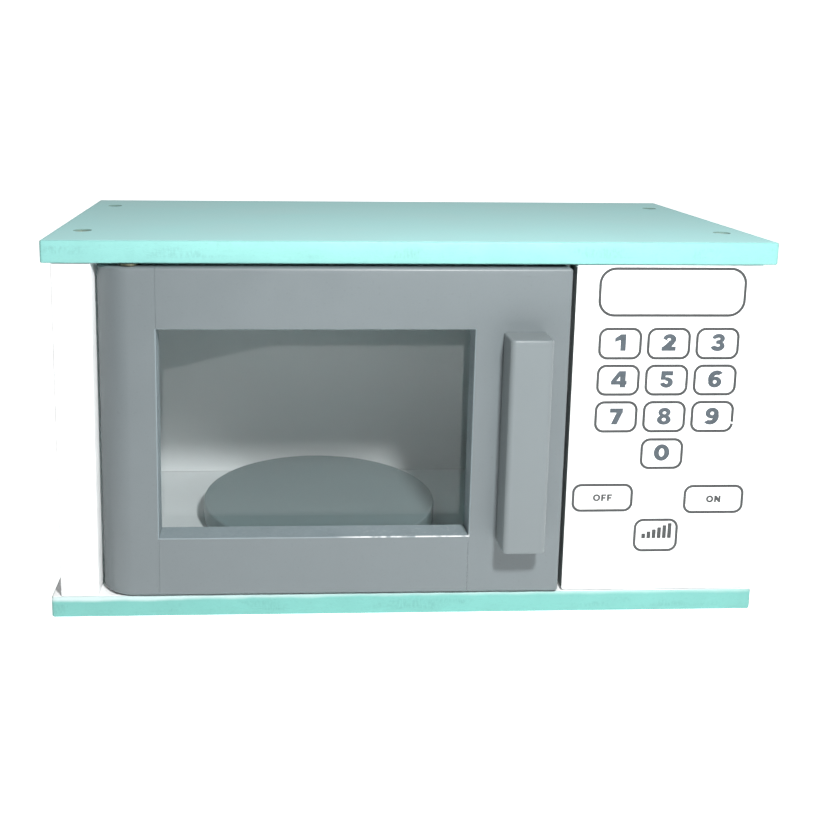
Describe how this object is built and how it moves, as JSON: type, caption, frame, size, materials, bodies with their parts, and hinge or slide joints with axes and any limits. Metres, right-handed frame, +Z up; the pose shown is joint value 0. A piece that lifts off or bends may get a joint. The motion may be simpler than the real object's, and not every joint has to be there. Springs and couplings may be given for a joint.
{
  "type": "toy microwave oven",
  "caption": "Wooden pretend-play microwave oven with a hinged glazed door, a bar handle, a control panel with printed keys and a turning disc inside.",
  "frame": {"origin": "middle of the bottom board's underside, which it rests on", "axes": "+X to the right as seen from the front, +Y to the back, +Z up; the door is at the front, towards -Y"},
  "size_m": [0.39, 0.2103, 0.209],
  "materials": {
    "mint_paint": "satin mint paint on fibreboard",
    "white_paint": "satin white paint on fibreboard",
    "grey_paint": "satin mid-grey paint on fibreboard",
    "handle_grey_paint": "satin lighter grey paint on wood",
    "disc_grey_paint": "satin dark grey paint on fibreboard",
    "clear_acrylic": "clear acrylic sheet",
    "brass": "plain brass",
    "steel": "zinc-plated steel"
  },
  "bodies": {
    "root": {"top_board": "mint_paint", "bottom_board": "mint_paint", "left_side_panel": "white_paint", "right_side_panel": "white_paint", "partition_panel": "white_paint", "back_panel": "white_paint", "control_panel": "white_paint", "turntable_spacer": "white_paint", "turntable_pin": "steel", "hinge_pin_upper": "steel", "hinge_pin_lower": "steel", "hinge_washer_upper": "brass", "hinge_washer_lower": "brass", "catch_magnet": "steel", "top_screw_front_left": "steel", "top_screw_front_right": "steel", "top_screw_back_left": "steel", "top_screw_back_right": "steel", "bottom_screw_front_left": "steel", "bottom_screw_front_right": "steel", "bottom_screw_back_left": "steel", "bottom_screw_back_right": "steel"},
    "door": {"door_hinge_stile": "grey_paint", "door_latch_stile": "grey_paint", "door_top_rail": "grey_paint", "door_bottom_rail": "grey_paint", "door_pane": "clear_acrylic", "door_handle": "handle_grey_paint", "catch_screw": "steel", "handle_screw_upper": "steel", "handle_screw_lower": "steel", "pane_screw_upper_left": "steel", "pane_screw_upper_right": "steel", "pane_screw_lower_left": "steel", "pane_screw_lower_right": "steel"},
    "turntable": {"turntable_disc": "disc_grey_paint"}
  },
  "joints": [
    {"name": "door_hinge", "type": "hinge", "parent": "root", "child": "door", "pos_m": [-0.1497, -0.0895, 0.1045], "axis": [0, 0, -1], "range_deg": [0, 130]},
    {"name": "turntable_spin", "type": "hinge", "parent": "root", "child": "turntable", "pos_m": [-0.0448, 0.0097, 0.021], "axis": [0, 0, 1], "continuous": true}
  ]
}
